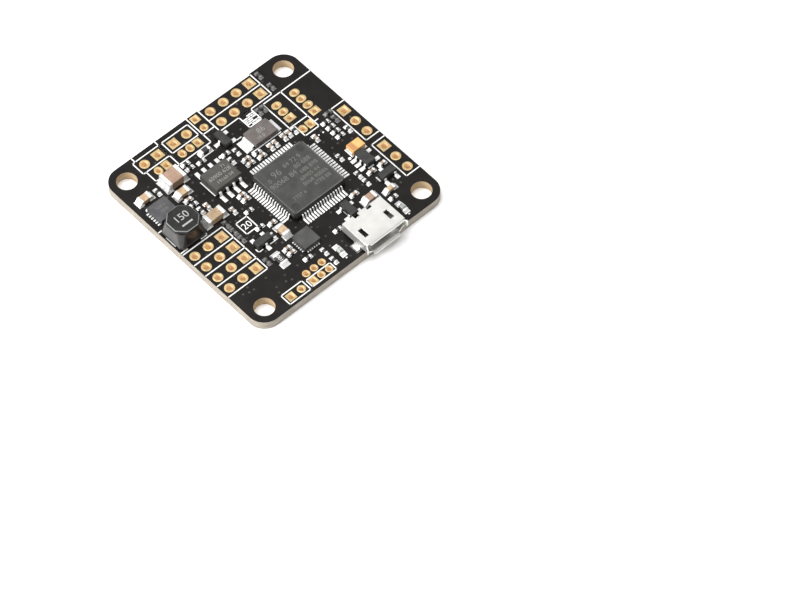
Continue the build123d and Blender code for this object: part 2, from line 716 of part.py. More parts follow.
with BuildPart() as core:
    with BuildSketch(Plane.XY.offset(MASK)):
        board_outline()
        for rows in PLATED.values():
            for pins in rows:
                with Locations(*pins.places):
                    Circle(pins.drill + PLATING, mode=Mode.SUBTRACT)
    extrude(amount=CORE_TOP - MASK)
keep(core, "board_core")

pad_outlines = all_pads()
with BuildPart() as mask_top:
    with BuildSketch(Plane.XY.offset(CORE_TOP)):
        board_outline()
        add(pad_outlines, mode=Mode.SUBTRACT)
        add(land_outlines.sketch, mode=Mode.SUBTRACT)
    extrude(amount=MASK)
keep(mask_top, "solder_mask_top")

with BuildPart() as mask_bottom:
    with BuildSketch():
        board_outline()
        add(pad_outlines, mode=Mode.SUBTRACT)
    extrude(amount=MASK)
keep(mask_bottom, "solder_mask_bottom")
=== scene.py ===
"""Looks of a flight controller board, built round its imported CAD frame.

Lengths are in millimetres unless a docstring calls them metres.
"""

import logging
import math
import random
from collections.abc import Callable
from dataclasses import dataclass
from enum import Enum

import bpy
import numpy as np
from mathutils import Matrix, Vector


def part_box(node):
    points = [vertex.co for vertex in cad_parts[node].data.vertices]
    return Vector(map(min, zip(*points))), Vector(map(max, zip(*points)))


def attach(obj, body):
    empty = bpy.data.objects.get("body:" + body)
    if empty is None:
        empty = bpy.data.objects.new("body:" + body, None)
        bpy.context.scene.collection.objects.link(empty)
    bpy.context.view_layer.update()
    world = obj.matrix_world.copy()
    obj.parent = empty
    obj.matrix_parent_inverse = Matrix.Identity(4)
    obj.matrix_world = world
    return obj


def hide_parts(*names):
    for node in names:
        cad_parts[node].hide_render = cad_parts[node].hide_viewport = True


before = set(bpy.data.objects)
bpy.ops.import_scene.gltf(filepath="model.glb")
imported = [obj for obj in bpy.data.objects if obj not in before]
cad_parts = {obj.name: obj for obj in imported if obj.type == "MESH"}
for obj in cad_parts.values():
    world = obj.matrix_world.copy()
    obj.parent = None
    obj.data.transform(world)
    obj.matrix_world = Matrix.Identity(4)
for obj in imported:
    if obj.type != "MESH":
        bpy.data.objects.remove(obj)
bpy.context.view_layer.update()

MM = 0.001
BODY = "root"
log = logging.getLogger("board")

Colour = tuple[float, float, float]
Place = tuple[float, float]
Span = tuple[float, float, float, float]
Piece = bpy.types.Object


# Finishes

class Graph:
    """A new material's node tree, with short calls for what the finishes need."""

    def __init__(self, name: str) -> None:
        """Start a material with an empty shader.

        Args:
            name: the material's name.
        """
        self.material = bpy.data.materials.new(name)
        self.material.use_nodes = True
        self.tree = self.material.node_tree
        self.shader = self.tree.nodes["Principled BSDF"]

    def node(self, kind: str, **settings: object) -> bpy.types.Node:
        """Add a node and set its properties.

        Args:
            kind: the node's Blender type.
            **settings: properties of the node.

        Returns:
            The new node.
        """
        made = self.tree.nodes.new(kind)
        for key, value in settings.items():
            setattr(made, key, value)
        return made

    def link(self, source: bpy.types.NodeSocket, target: bpy.types.NodeSocket) -> None:
        """Join two sockets."""
        self.tree.links.new(source, target)

    def place(self, stretch: Colour = (1.0, 1.0, 1.0)) -> bpy.types.NodeSocket:
        """Object coordinates in millimetres.

        Args:
            stretch: how much the pattern is squeezed along each axis.

        Returns:
            The socket that gives the coordinates.
        """
        coords = self.node("ShaderNodeTexCoord")
        mapping = self.node("ShaderNodeMapping")
        mapping.inputs["Scale"].default_value = tuple(1000.0 * s for s in stretch)
        self.link(coords.outputs["Object"], mapping.inputs["Vector"])
        return mapping.outputs["Vector"]

    def noise(self, scale: float, detail: float = 3.0, stretch: Colour = (1.0, 1.0, 1.0)) -> bpy.types.NodeSocket:
        """A noise pattern.

        Args:
            scale: cells per millimetre.
            detail: octaves of finer pattern.
            stretch: how much the pattern is squeezed along each axis.

        Returns:
            The socket that gives the pattern, 0 to 1.
        """
        made = self.node("ShaderNodeTexNoise")
        made.inputs["Scale"].default_value = scale
        made.inputs["Detail"].default_value = detail
        self.link(self.place(stretch), made.inputs["Vector"])
        return made.outputs["Fac"]

    def ramp(self, value: bpy.types.NodeSocket, stops: list[tuple[float, Colour]]) -> bpy.types.NodeSocket:
        """Colours along a value.

        Args:
            value: the socket to read.
            stops: places from 0 to 1 and the colour at each.

        Returns:
            The socket that gives the colour.
        """
        made = self.node("ShaderNodeValToRGB")
        band = made.color_ramp
        while len(band.elements) < len(stops):
            band.elements.new(1.0)
        for element, (at, colour) in zip(band.elements, stops):
            element.position = at
            element.color = (*colour, 1.0)
        self.link(value, made.inputs["Fac"])
        return made.outputs["Color"]

    def span(self, value: bpy.types.NodeSocket, low: float, high: float) -> bpy.types.NodeSocket:
        """A value from 0 to 1 spread between two others.

        Args:
            value: the socket to read.
            low: what 0 becomes.
            high: what 1 becomes.

        Returns:
            The socket that gives the result.
        """
        made = self.node("ShaderNodeMapRange")
        made.inputs["To Min"].default_value = low
        made.inputs["To Max"].default_value = high
        self.link(value, made.inputs["Value"])
        return made.outputs["Result"]

    def bump(self, height: bpy.types.NodeSocket, depth_mm: float, strength: float = 1.0) -> None:
        """Raise the surface by a pattern.

        Args:
            height: the pattern.
            depth_mm: how far the pattern rises.
            strength: how much of it shows.
        """
        made = self.node("ShaderNodeBump")
        made.inputs["Strength"].default_value = strength
        made.inputs["Distance"].default_value = depth_mm * MM
        self.link(height, made.inputs["Height"])
        self.link(made.outputs["Normal"], self.shader.inputs["Normal"])

    def constant(self, socket: str, value: object) -> None:
        """Set a shader socket to one value."""
        self.shader.inputs[socket].default_value = value


@dataclass(frozen=True)
class Finish:
    """A surface with a slightly uneven colour, gloss and grain.

    Attributes:
        name: the material's name.
        dark: the darker colour of the unevenness.
        light: the lighter colour of the unevenness.
        roughness: the lowest and highest roughness.
        metallic: 1 for metal, else 0.
        specular: the shader's specular level.
        cells: size of the unevenness, cells per millimetre.
        grain: cells of the grain per millimetre.
        grain_depth: height of the grain in millimetres.
        coat: weight of a clear coat.
    """

    name: str
    dark: Colour
    light: Colour
    roughness: tuple[float, float] = (0.4, 0.5)
    metallic: float = 0.0
    specular: float = 0.5
    cells: float = 1.2
    grain: float = 12.0
    grain_depth: float = 0.004
    coat: float = 0.0

    def material(self) -> bpy.types.Material:
        """Make the material.

        Returns:
            The finished material.
        """
        graph = Graph(self.name)
        uneven = graph.noise(self.cells, 4.0)
        colour = graph.ramp(uneven, [(0.3, self.dark), (0.7, self.light)])
        graph.link(colour, graph.shader.inputs["Base Color"])
        roughness = graph.span(graph.noise(self.cells * 2.5), *self.roughness)
        graph.link(roughness, graph.shader.inputs["Roughness"])
        graph.constant("Metallic", self.metallic)
        graph.constant("Specular IOR Level", self.specular)
        graph.constant("Coat Weight", self.coat)
        graph.bump(graph.noise(self.grain, 2.0), self.grain_depth)
        self.enrich(graph)
        return graph.material

    def enrich(self, graph: Graph) -> None:
        """Add what is special to this finish; plain ones add nothing."""


@dataclass(frozen=True)
class LaminateFinish(Finish):
    """Sawn glass laminate: thin layers across its edge, with painted light on the mounting holes' walls, which are
    given a lighter, warmer colour as if lit.

    Attributes:
        lit_wall: the painted colour of the lit walls of the mounting holes.
        hole_at: how far the mounting holes are from the middle along each axis.
        hole_reach: how far the painted light reaches from a hole's axis.
    """

    lit_wall: Colour = (0.50, 0.36, 0.20)
    hole_at: float = 15.25
    hole_reach: float = 1.75

    def enrich(self, graph: Graph) -> None:
        """Streak the colour by layers and paint light on the walls of the mounting holes.

        Args:
            graph: the material's graph.
        """
        layers = graph.noise(1.0, 2.0, (0.5, 0.5, 12.0))
        colour = graph.ramp(layers, [(0.3, self.dark), (0.68, self.light)])
        vector = graph.place()
        for operation, value in (
            ("ABSOLUTE", (0.0, 0.0, 0.0)),
            ("SUBTRACT", (self.hole_at, self.hole_at, 0.0)),
            ("MULTIPLY", (1.0, 1.0, 0.0)),
        ):
            step = graph.node("ShaderNodeVectorMath", operation=operation)
            step.inputs[1].default_value = value
            graph.link(vector, step.inputs[0])
            vector = step.outputs["Vector"]
        length = graph.node("ShaderNodeVectorMath", operation="LENGTH")
        graph.link(vector, length.inputs[0])
        near = graph.node("ShaderNodeMath", operation="LESS_THAN")
        near.inputs[1].default_value = self.hole_reach
        graph.link(length.outputs["Value"], near.inputs[0])
        # Painted light: the lighter, warmer wall colour is mixed in near each hole's axis.
        mix = graph.node("ShaderNodeMix", data_type="RGBA")
        mix.inputs[7].default_value = (*self.lit_wall, 1.0)
        graph.link(graph.span(near.outputs[0], 0.0, 0.75), mix.inputs[0])
        graph.link(colour, mix.inputs[6])
        graph.link(mix.outputs[2], graph.shader.inputs["Base Color"])


MOULD = {"grain": 14.0, "grain_depth": 0.006}
CERAMIC = {"grain": 10.0, "grain_depth": 0.004}


class Look(Enum):
    """The finishes of the board and what is on it."""

    MASK = Finish("black_mask", (0.0038, 0.0032, 0.0027), (0.0085, 0.0072, 0.0060), (0.34, 0.46), specular=0.17,
                  cells=0.5, grain=5.0, grain_depth=0.006)
    VIA = Finish("via_mask", (0.009, 0.0085, 0.008), (0.052, 0.050, 0.047), (0.26, 0.4), specular=0.35, cells=0.9)
    LAMINATE = LaminateFinish("laminate_edge", (0.20, 0.175, 0.145), (0.42, 0.375, 0.315), (0.6, 0.75),
                              specular=0.3)
    GOLD = Finish("immersion_gold", (0.44, 0.31, 0.135), (0.58, 0.435, 0.225), (0.36, 0.5), 0.55,
                  cells=2.2, grain=9.0, grain_depth=0.006)
    # Painted light: a lighter, less metallic copy of the gold for the plated holes' walls, standing for the light they
    # catch.
    LIT_HOLE_GOLD = Finish("painted_lit_hole_gold", (0.86, 0.62, 0.36), (0.95, 0.75, 0.50), (0.4, 0.55), 0.15, cells=2.2,
                       grain=9.0, grain_depth=0.004)
    TIN = Finish("bright_tin", (0.62, 0.62, 0.61), (0.94, 0.94, 0.93), (0.24, 0.42), 0.5, cells=1.6,
                 grain=6.0, grain_depth=0.008)
    # A darker, less glossy tin for some joints.
    DARK_TIN = Finish("darker_tin", (0.09, 0.085, 0.085), (0.24, 0.23, 0.225), (0.4, 0.55), 0.3, cells=3.0,
                      grain=6.0, grain_depth=0.008)
    SILK = Finish("white_ink", (0.66, 0.66, 0.64), (0.80, 0.80, 0.78), (0.6, 0.75), cells=4.0,
                  grain=14.0, grain_depth=0.004)
    CHIP_GREY = Finish("grey_mould", (0.030, 0.031, 0.029), (0.052, 0.052, 0.048), (0.5, 0.62), specular=0.3,
                       cells=0.6, **MOULD)
    # Painted shade: a darker copy of the grey mould for the processor's dimples.
    CHIP_DIMPLE_SHADE = Finish("dimple_painted_shade", (0.022, 0.023, 0.021), (0.038, 0.039, 0.036), (0.4, 0.5), specular=0.3,
                         cells=0.8, grain=14.0, grain_depth=0.004)
    CHIP_OLIVE = Finish("olive_mould", (0.042, 0.041, 0.037), (0.063, 0.062, 0.055), (0.5, 0.62), specular=0.34,
                        cells=0.9, **MOULD)
    CHIP_BLACK = Finish("black_mould", (0.024, 0.024, 0.023), (0.052, 0.052, 0.049), (0.42, 0.56), cells=0.7, **MOULD)
    CHIP_DARK = Finish("dark_mould", (0.015, 0.015, 0.0145), (0.032, 0.032, 0.031), (0.42, 0.56), specular=0.35,
                       cells=1.1, **MOULD)
    CHIP_VIOLET = Finish("violet_mould", (0.036, 0.035, 0.038), (0.066, 0.064, 0.069), (0.5, 0.62), cells=0.9,
                         grain=12.0, grain_depth=0.006)
    CHIP_BROWN = Finish("brown_mould", (0.075, 0.062, 0.056), (0.120, 0.104, 0.096), (0.5, 0.62), cells=0.8,
                        grain=12.0, grain_depth=0.006)
    BEIGE = Finish("beige_ceramic", (0.33, 0.22, 0.12), (0.50, 0.37, 0.24), (0.42, 0.55), cells=1.6, **CERAMIC)
    SMALL_BEIGE = Finish("small_ceramic", (0.20, 0.135, 0.095), (0.36, 0.27, 0.20), (0.42, 0.55), cells=1.6, **CERAMIC)
    BROWN = Finish("pink_brown_ceramic", (0.25, 0.155, 0.105), (0.36, 0.24, 0.17), (0.4, 0.52), cells=1.2, **CERAMIC)
    GLAZE = Finish("resistor_glaze", (0.016, 0.015, 0.016), (0.040, 0.038, 0.040), (0.3, 0.42), cells=4.0)
    FERRITE = Finish("dark_ferrite", (0.007, 0.0073, 0.0067), (0.017, 0.0173, 0.016), (0.5, 0.66), specular=0.26,
                     cells=1.4, grain=9.0, grain_depth=0.01)
    # Painted highlight: a light grey for the ferrite plates' rounded edges, standing for the light along them.
    PLATE_EDGE_HIGHLIGHT = Finish("ferrite_painted_highlight", (0.14, 0.145, 0.14), (0.22, 0.225, 0.22), (0.35, 0.5), cells=3.0)
    RESIN = Finish("winding_resin", (0.008, 0.007, 0.007), (0.024, 0.021, 0.020), (0.24, 0.36), specular=0.4,
                   cells=0.7, coat=0.35)
    YELLOW = Finish("yellow_mould", (0.58, 0.32, 0.10), (0.68, 0.41, 0.15), (0.5, 0.62), cells=2.0)
    ORANGE = Finish("orange_band", (0.40, 0.18, 0.06), (0.48, 0.225, 0.085), (0.5, 0.62), cells=3.0)
    WHITE = Finish("white_mould", (0.42, 0.44, 0.41), (0.52, 0.54, 0.50), (0.4, 0.5), cells=2.0)
    LENS = Finish("clear_lens", (0.35, 0.37, 0.34), (0.45, 0.47, 0.44), (0.2, 0.3), cells=2.0, coat=0.2)
    BOND = Finish("bond_shade", (0.14, 0.15, 0.14), (0.22, 0.235, 0.22), (0.4, 0.5), cells=3.0)
    STEEL = Finish("plated_steel", (0.64, 0.635, 0.605), (0.72, 0.715, 0.685), (0.26, 0.38), 0.75, cells=0.8,
                   grain=7.0, grain_depth=0.003)
    INSULATOR = Finish("black_insulator", (0.02, 0.02, 0.02), (0.035, 0.035, 0.035), (0.45, 0.6))
    INK_PALE = Finish("pale_ink", (0.28, 0.28, 0.27), (0.40, 0.40, 0.385), (0.6, 0.75), cells=4.0)
    INK_MID = Finish("mid_ink", (0.17, 0.17, 0.155), (0.25, 0.25, 0.23), (0.6, 0.7), cells=5.0)
    INK_GREY = Finish("grey_ink", (0.088, 0.088, 0.080), (0.135, 0.134, 0.122), (0.6, 0.7), cells=5.0)

    @property
    def material(self) -> bpy.types.Material:
        """The finish's material, made when first asked for."""
        return bpy.data.materials.get(self.value.name) or self.value.material()


# The bench: modelling with Blender's own tools

@dataclass(frozen=True)
class Block:
    """The box of one loose piece of a CAD node, in metres."""

    low: Vector
    high: Vector

    @property
    def centre(self) -> Vector:
        """The middle of the box."""
        return (self.low + self.high) / 2

    @property
    def size(self) -> Vector:
        """The box's size along each axis."""
        return self.high - self.low

    def holds(self, point: Vector, margin: float = 0.0) -> bool:
        """Whether a point lies over the box, seen from above."""
        return all(self.low[i] - margin <= point[i] <= self.high[i] + margin for i in (0, 1))


class Bench:
    """Modelling steps shared by every sub-assembly."""

    @staticmethod
    def clear() -> None:
        """Deselect everything, in object mode."""
        if bpy.context.object and bpy.context.object.mode != "OBJECT":
            bpy.ops.object.mode_set(mode="OBJECT")
        bpy.ops.object.select_all(action="DESELECT")

    @staticmethod
    def pick(piece: Piece) -> None:
        """Make one object the only selected and the active one."""
        Bench.clear()
        piece.select_set(True)
        bpy.context.view_layer.objects.active = piece

    @staticmethod
    def choose(piece: Piece, kind: str, test: Callable[[object], bool]) -> None:
        """Enter edit mode with only some edges or faces of a piece selected.

        Args:
            piece: the piece, which is the active object.
            kind: "EDGE" or "FACE".
            test: says whether an edge or face is selected.
        """
        bpy.ops.object.mode_set(mode="EDIT")
        bpy.ops.mesh.select_all(action="DESELECT")
        bpy.ops.object.mode_set(mode="OBJECT")
        for item in piece.data.edges if kind == "EDGE" else piece.data.polygons:
            item.select = test(item)
        bpy.ops.object.mode_set(mode="EDIT")
        bpy.ops.mesh.select_mode(type=kind)

    @staticmethod
    def slab(low: Vector, high: Vector, bevel: float = 0.0, segments: int = 1) -> Piece:
        """A flat block whose top edges are rounded.

        Args:
            low: the lowest corner, metres.
            high: the highest corner, metres.
            bevel: how much of the top edge is rounded away, metres.
            segments: faces across the rounding.

        Returns:
            The block, with its place in its mesh.
        """
        Bench.clear()
        bpy.ops.mesh.primitive_cube_add(size=1.0, location=(low + high) / 2)
        piece = bpy.context.object
        piece.scale = high - low
        Bench.settle(piece)
        if bevel:
            points = piece.data.vertices
            upper = high.z - 1e-7
            Bench.choose(piece, "EDGE", lambda edge: all(points[v].co.z > upper for v in edge.vertices))
            bpy.ops.mesh.bevel(offset=bevel, segments=segments, clamp_overlap=True)
            bpy.ops.object.mode_set(mode="OBJECT")
        return piece

    @staticmethod
    def settle(piece: Piece) -> None:
        """Move an object's place, turn and scale into its mesh."""
        bpy.context.view_layer.update()
        piece.data.transform(piece.matrix_world)
        piece.matrix_world = Matrix.Identity(4)

    @staticmethod
    def copy(piece: Piece, matrix: Matrix) -> Piece:
        """A copy with its own mesh, moved by a matrix.

        Args:
            piece: what to copy.
            matrix: where the copy goes, from where the piece is.

        Returns:
            The copy.
        """
        mesh = piece.data.copy()
        mesh.transform(matrix)
        made = bpy.data.objects.new(piece.name, mesh)
        bpy.context.scene.collection.objects.link(made)
        return made

    @staticmethod
    def join(pieces: list[Piece], name: str) -> Piece:
        """Join objects into one.

        Args:
            pieces: the objects.
            name: the joined object's name.

        Returns:
            The joined object.
        """
        Bench.clear()
        for piece in pieces:
            piece.select_set(True)
        bpy.context.view_layer.objects.active = pieces[0]
        if len(pieces) > 1:
            bpy.ops.object.join()
        joined = bpy.context.object
        joined.name = name
        joined.data.name = name
        return joined

    @staticmethod
    def number(words: str, spot: Vector, height: float, ink: float, turn: float = 0.0) -> Piece:
        """A row of digits as a thin solid.

        Args:
            words: the digits.
            spot: the row's middle, on the face it is printed on, metres.
            height: the digits' height.
            ink: the ink's thickness.
            turn: degrees about Z.

        Returns:
            The digits, as a mesh.
        """
        Bench.clear()
        bpy.ops.object.text_add(location=spot, rotation=(0.0, 0.0, math.radians(turn)))
        text = bpy.context.object
        text.data.body = words
        text.data.size = height * MM * 1.35
        text.data.align_x = "CENTER"
        text.data.align_y = "CENTER"
        text.data.extrude = ink * MM
        text.data.resolution_u = 4
        bpy.ops.object.convert(target="MESH")
        digits = bpy.context.object
        Bench.settle(digits)
        return digits

    @staticmethod
    def touch(piece: Piece, look: Look, spots: list[Place], radius: float = 1.0) -> None:
        """Give the faces of a piece that lie near some spots a second finish.

        Args:
            piece: the piece.
            look: the second finish.
            spots: middles of the areas.
            radius: how far each area reaches.
        """
        near, reach = [Vector((x * MM, y * MM)) for x, y in spots], radius * MM
        Bench.shade(piece, look, lambda face: any((face.center.xy - spot).length < reach for spot in near))

    @staticmethod
    def shade(piece: Piece, look: Look, test: Callable[[bpy.types.MeshPolygon], bool]) -> None:
        """Give the faces of a piece that pass a test one more finish.

        Args:
            piece: the piece.
            look: the finish.
            test: says whether a face takes it.
        """
        piece.data.materials.append(look.material)
        index = len(piece.data.materials) - 1
        for polygon in piece.data.polygons:
            if test(polygon):
                polygon.material_index = index

    @staticmethod
    def dress(piece: Piece, look: Look, slot: str, smooth: float = 35.0) -> Piece:
        """Give a new piece its material and its body.

        Args:
            piece: the piece.
            look: its finish.
            slot: the record's material slot; not used.
            smooth: the widest angle that is shaded smooth, degrees; 0 for none.

        Returns:
            The same piece.
        """
        piece.data.materials.clear()
        piece.data.materials.append(look.material)
        if smooth:
            Bench.pick(piece)
            bpy.ops.object.shade_smooth_by_angle(angle=math.radians(smooth))
            weighted = piece.modifiers.new("weighted", "WEIGHTED_NORMAL")
            weighted.keep_sharp = True
            bpy.ops.object.modifier_apply(modifier=weighted.name)
        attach(piece, BODY)
        log.info("%s: %d faces", piece.name, len(piece.data.polygons))
        return piece

    @staticmethod
    def paint(node: str, look: Look) -> None:
        """Give a CAD node that stays as it is a better material."""
        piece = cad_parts[node]
        for spare in piece.material_slots:
            spare.material = look.material

    @staticmethod
    def rounded(node: str, name: str, radius: float, segments: int = 2, angle: float = 30.0) -> Piece:
        """A copy of a CAD node with its sharp edges rounded, which stands for it.

        Args:
            node: the CAD node.
            name: the new piece's name.
            radius: the rounding.
            segments: faces across the rounding.
            angle: edges sharper than this are rounded, degrees.

        Returns:
            The new piece.
        """
        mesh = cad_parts[node].data.copy()
        piece = bpy.data.objects.new(name, mesh)
        bpy.context.scene.collection.objects.link(piece)
        Bench.pick(piece)
        bpy.ops.object.mode_set(mode="EDIT")
        bpy.ops.mesh.select_all(action="SELECT")
        bpy.ops.mesh.remove_doubles(threshold=2e-7)
        bpy.ops.mesh.dissolve_limited(angle_limit=math.radians(0.5))
        bpy.ops.object.mode_set(mode="OBJECT")
        bevel = piece.modifiers.new("round", "BEVEL")
        bevel.width = radius * MM
        bevel.segments = segments
        bevel.limit_method = "ANGLE"
        bevel.angle_limit = math.radians(angle)
        bpy.ops.object.modifier_apply(modifier="round")
        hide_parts(node)
        return piece


def loose_blocks(node: str) -> list[Block]:
    """The boxes of a CAD node's loose pieces.

    Args:
        node: the CAD node.

    Returns:
        One block for each loose piece.
    """
    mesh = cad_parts[node].data
    points = np.empty(len(mesh.vertices) * 3)
    mesh.vertices.foreach_get("co", points)
    points = points.reshape(-1, 3)
    _, same = np.unique(np.round(points * 1e7).astype(np.int64), axis=0, return_inverse=True)
    same = same.reshape(-1)
    parent = list(range(int(same.max()) + 1))

    def root(item: int) -> int:
        """The piece that a point belongs to."""
        while parent[item] != item:
            parent[item] = parent[parent[item]]
            item = parent[item]
        return item

    for polygon in mesh.polygons:
        first = root(int(same[polygon.vertices[0]]))
        for vertex in polygon.vertices[1:]:
            parent[root(int(same[vertex]))] = first
    owner = np.array([root(int(item)) for item in same])
    return [
        Block(Vector(points[owner == piece].min(0)), Vector(points[owner == piece].max(0)))
        for piece in np.unique(owner)
    ]


# Board

@dataclass
class Board:
    """The laminate, its mask and its plated holes.

    Attributes:
        ring_rounding: the rounding of the holes' plating.
    """

    ring_rounding: float = 0.02

    def build(self) -> None:
        """Dress the board's own nodes."""
        Bench.paint("board_core", Look.LAMINATE)
        Bench.paint("solder_mask_top", Look.MASK)
        Bench.paint("solder_mask_bottom", Look.MASK)
        Bench.paint("solder_lands", Look.TIN)
        for node in sorted(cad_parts):
            if node.startswith("plated_holes"):
                rings = Bench.rounded(node, node.replace("plated_holes", "gold_rings"), self.ring_rounding)
                Bench.dress(rings, Look.GOLD, "gold_plating")
                # Painted light: the holes' walls take the lighter gold copy in place of the light on them.
                Bench.shade(rings, Look.LIT_HOLE_GOLD, lambda face: abs(face.normal.z) < 0.5)


@dataclass
class Vias:
    """Small vias under the mask, seen as faint low discs in the bare areas.

    Attributes:
        count: how many places are tried.
        radius: radius of a disc.
        rise: how far a disc rises.
        margin: how far a disc stays from what is on the board.
        reach: how far from the middle the vias go along each axis.
        spacing: the least distance between two vias.
    """

    count: int = 900
    radius: float = 0.2
    rise: float = 0.016
    margin: float = 0.26
    reach: float = 17.0
    spacing: float = 0.8

    def build(self) -> None:
        """Model one disc and copy it to every place that is bare."""
        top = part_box("solder_mask_top")[1].z
        kept_off = loose_blocks("solder_lands")
        for node in sorted(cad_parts):
            if node.startswith("plated_holes") or node.endswith(("_body", "choke_core", "receptacle_shell")):
                kept_off += loose_blocks(node)
        draw = random.Random(5)
        disc = self.unit_disc()
        discs, places = [], []
        for _ in range(self.count):
            x, y = draw.uniform(-self.reach, self.reach), draw.uniform(-self.reach, self.reach)
            place = Vector((x, y, 0.0)) * MM
            corner = Vector((abs(place.x), abs(place.y))) - Vector((15.25, 15.25)) * MM
            if corner.length < 3.2 * MM or (place.x > 11.5 * MM and place.y > 5.0 * MM):
                continue
            if any(block.holds(place, self.margin * MM) for block in kept_off):
                continue
            if any((place - other).length < self.spacing * MM for other in places):
                continue
            places.append(place)
            discs.append(Bench.copy(disc, Matrix.Translation(place + Vector((0, 0, top)))))
        bpy.data.objects.remove(disc)
        Bench.dress(Bench.join(discs, "mask_vias"), Look.VIA, "solder_mask", 60)

    def unit_disc(self) -> Piece:
        """A plain low disc over the origin.

        The whole disc is selected when it is inset, so no face is added: the insets pull
        its points in, which makes it smaller than radius and rise and turns its faces inwards.

        Returns:
            The disc.
        """
        Bench.clear()
        bpy.ops.mesh.primitive_cylinder_add(
            vertices=12, radius=self.radius * MM, depth=self.rise * MM, location=(0, 0, self.rise * MM / 2))
        piece = bpy.context.object
        Bench.settle(piece)
        for polygon in piece.data.polygons:
            polygon.select = polygon.normal.z > 0.9
        bpy.ops.object.mode_set(mode="EDIT")
        bpy.ops.mesh.inset(thickness=self.radius * 0.3 * MM)
        bpy.ops.mesh.inset(thickness=self.radius * 0.3 * MM, depth=-self.rise * 0.8 * MM)
        bpy.ops.object.mode_set(mode="OBJECT")
        return piece


@dataclass
class Silkscreen:
    """White ink lines, boxes and dots on the top face.

    Attributes:
        width: width of a line.
        ink: thickness of the ink.
        edge: how far from the middle the ink may go.
        lines: start x, y and end x, y of each line.
        boxes: lowest x, y and highest x, y of each box.
        dots: x, y and radius of each dot.
        hatched: lowest x, y and highest x, y of the printed codes.
        numbers: the digits, their x, y and height in millimetres, and their turn in degrees.
    """

    width: float = 0.19
    ink: float = 0.014
    edge: float = 17.97
    lines: tuple[Span, ...] = (
        (-12.12, 17.85, -12.12, 17.08), (-12.12, 14.54, -12.12, 12.3), (-7.62, 17.85, -7.62, 12.3),
        (-12.12, 12.3, -1.5, 12.3), (-1.5, 17.85, -1.5, 12.3), (-1.5, 14.1, 0.6, 14.1),
        (0.75, 17.85, 0.75, 13.2), (0.9, 17.85, 10.9, 17.85), (0.9, 15.4, 10.9, 15.4),
        (0.9, 12.87, 10.9, 12.87), (10.9, 17.85, 10.9, 12.87), (8.8, 12.3, 17.85, 12.3),
        (12.1, 12.3, 12.1, 3.7), (8.6, 12.0, 8.6, 6.3), (8.6, 6.3, 12.1, 6.3), (9.4, 6.0, 9.4, 3.7),
        (9.4, 3.7, 12.1, 3.7), (12.2, 4.8, 12.8, 4.8), (13.9, 4.8, 17.85, 4.8), (15.4, 4.8, 15.4, -3.0),
        (15.4, -3.0, 17.85, -3.0), (15.4, -4.17, 17.85, -4.17), (15.4, -4.17, 15.4, -11.85),
        (15.4, -11.85, 17.85, -11.85), (-17.85, -0.42, -10.42, -0.42), (-17.85, -2.96, -10.42, -2.96),
        (-17.85, -5.46, -10.42, -5.46), (-17.85, -7.98, -10.42, -7.98), (-17.85, -10.5, -10.42, -10.5),
        (-10.42, -0.42, -10.42, -10.5), (1.6, 6.7, 7.2, 6.7), (1.6, 9.97, 2.3, 9.97),
        (-4.4, 10.9, -2.3, 10.9), (4.4, -10.4, 4.4, -11.5), (-17.85, 5.0, -16.3, 5.0),
        (-17.85, 0.0, -16.7, 0.0), (-14.0, 0.0, -12.9, 0.0), (-12.9, 0.0, -12.9, 0.5),
        (-7.5, 7.7, -7.5, 4.5), (11.95, -9.1, 11.95, -9.9), (12.3, -7.05, 13.2, -7.05),
        (-9.5, -6.9, -9.5, -7.5), (-9.5, -7.5, -8.75, -7.5), (-7.25, -7.5, -6.5, -7.5),
        (-0.85, -16.8, -0.75, -16.8), (11.05, -17.15, 11.15, -17.15),
    )
    boxes: tuple[Span, ...] = (
        (-12.62, 14.54, -7.62, 17.08), (-7.04, 14.55, -2.0, 17.1), (-12.25, -17.46, -8.3, -15.46),
        (-7.8, -17.33, -3.2, -15.83), (-8.65, -3.9, -6.55, -1.4), (4.42, 10.4, 6.75, 12.87),
    )
    dots: tuple[tuple[float, float, float], ...] = (
        (-2.33, 9.25, 0.28), (-16.45, 9.15, 0.3), (11.4, -3.85, 0.25), (10.95, 2.45, 0.14),
        (11.75, 2.4, 0.14), (-2.9, -8.75, 0.12),
    )
    hatched: tuple[Span, ...] = (
        (4.6, 10.6, 6.6, 12.6),
    )
    numbers: tuple[tuple[str, float, float, float, float], ...] = (
        ("20", -7.6, -2.7, 1.2, 0.0),
    )

    def build(self) -> None:
        """Print the ink."""
        self.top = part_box("solder_mask_top")[1].z
        strokes = [self.stroke(*line) for line in self.lines]
        for x0, y0, x1, y1 in self.boxes:
            for line in ((x0, y0, x1, y0), (x1, y0, x1, y1), (x1, y1, x0, y1), (x0, y1, x0, y0)):
                strokes.append(self.stroke(*line))
        self.print(Bench.join(strokes, "silk_lines"))
        self.print(Bench.join([self.dot(*dot) for dot in self.dots], "silk_dots"))
        draw = random.Random(11)
        ticks = [tick for area in self.hatched for tick in self.hatch(area, draw)]
        self.print(Bench.join(ticks, "silk_hatching"))
        for words, x, y, height, turn in self.numbers:
            spot = Vector((x * MM, y * MM, self.top))
            number = Bench.number(words, spot, height, self.ink, turn)
            number.name = "silk_number"
            self.print(number)

    @staticmethod
    def print(piece: Piece) -> None:
        """Dress a piece as white ink."""
        Bench.dress(piece, Look.SILK, "white_plastic", 0)

    def stroke(self, x0: float, y0: float, x1: float, y1: float, width: float = 0.0) -> Piece:
        """One inked line along X or Y.

        Args:
            x0, y0: start.
            x1, y1: end.
            width: the line's width, or 0 for the usual one.

        Returns:
            The line.
        """
        half, edge = (width or self.width) / 2, self.edge
        low = Vector((max(min(x0, x1) - half, -edge), max(min(y0, y1) - half, -edge), 0)) * MM
        high = Vector((min(max(x0, x1) + half, edge), min(max(y0, y1) + half, edge), 0)) * MM
        low.z, high.z = self.top - 0.004 * MM, self.top + self.ink * MM
        return Bench.slab(low, high, 0.008 * MM)

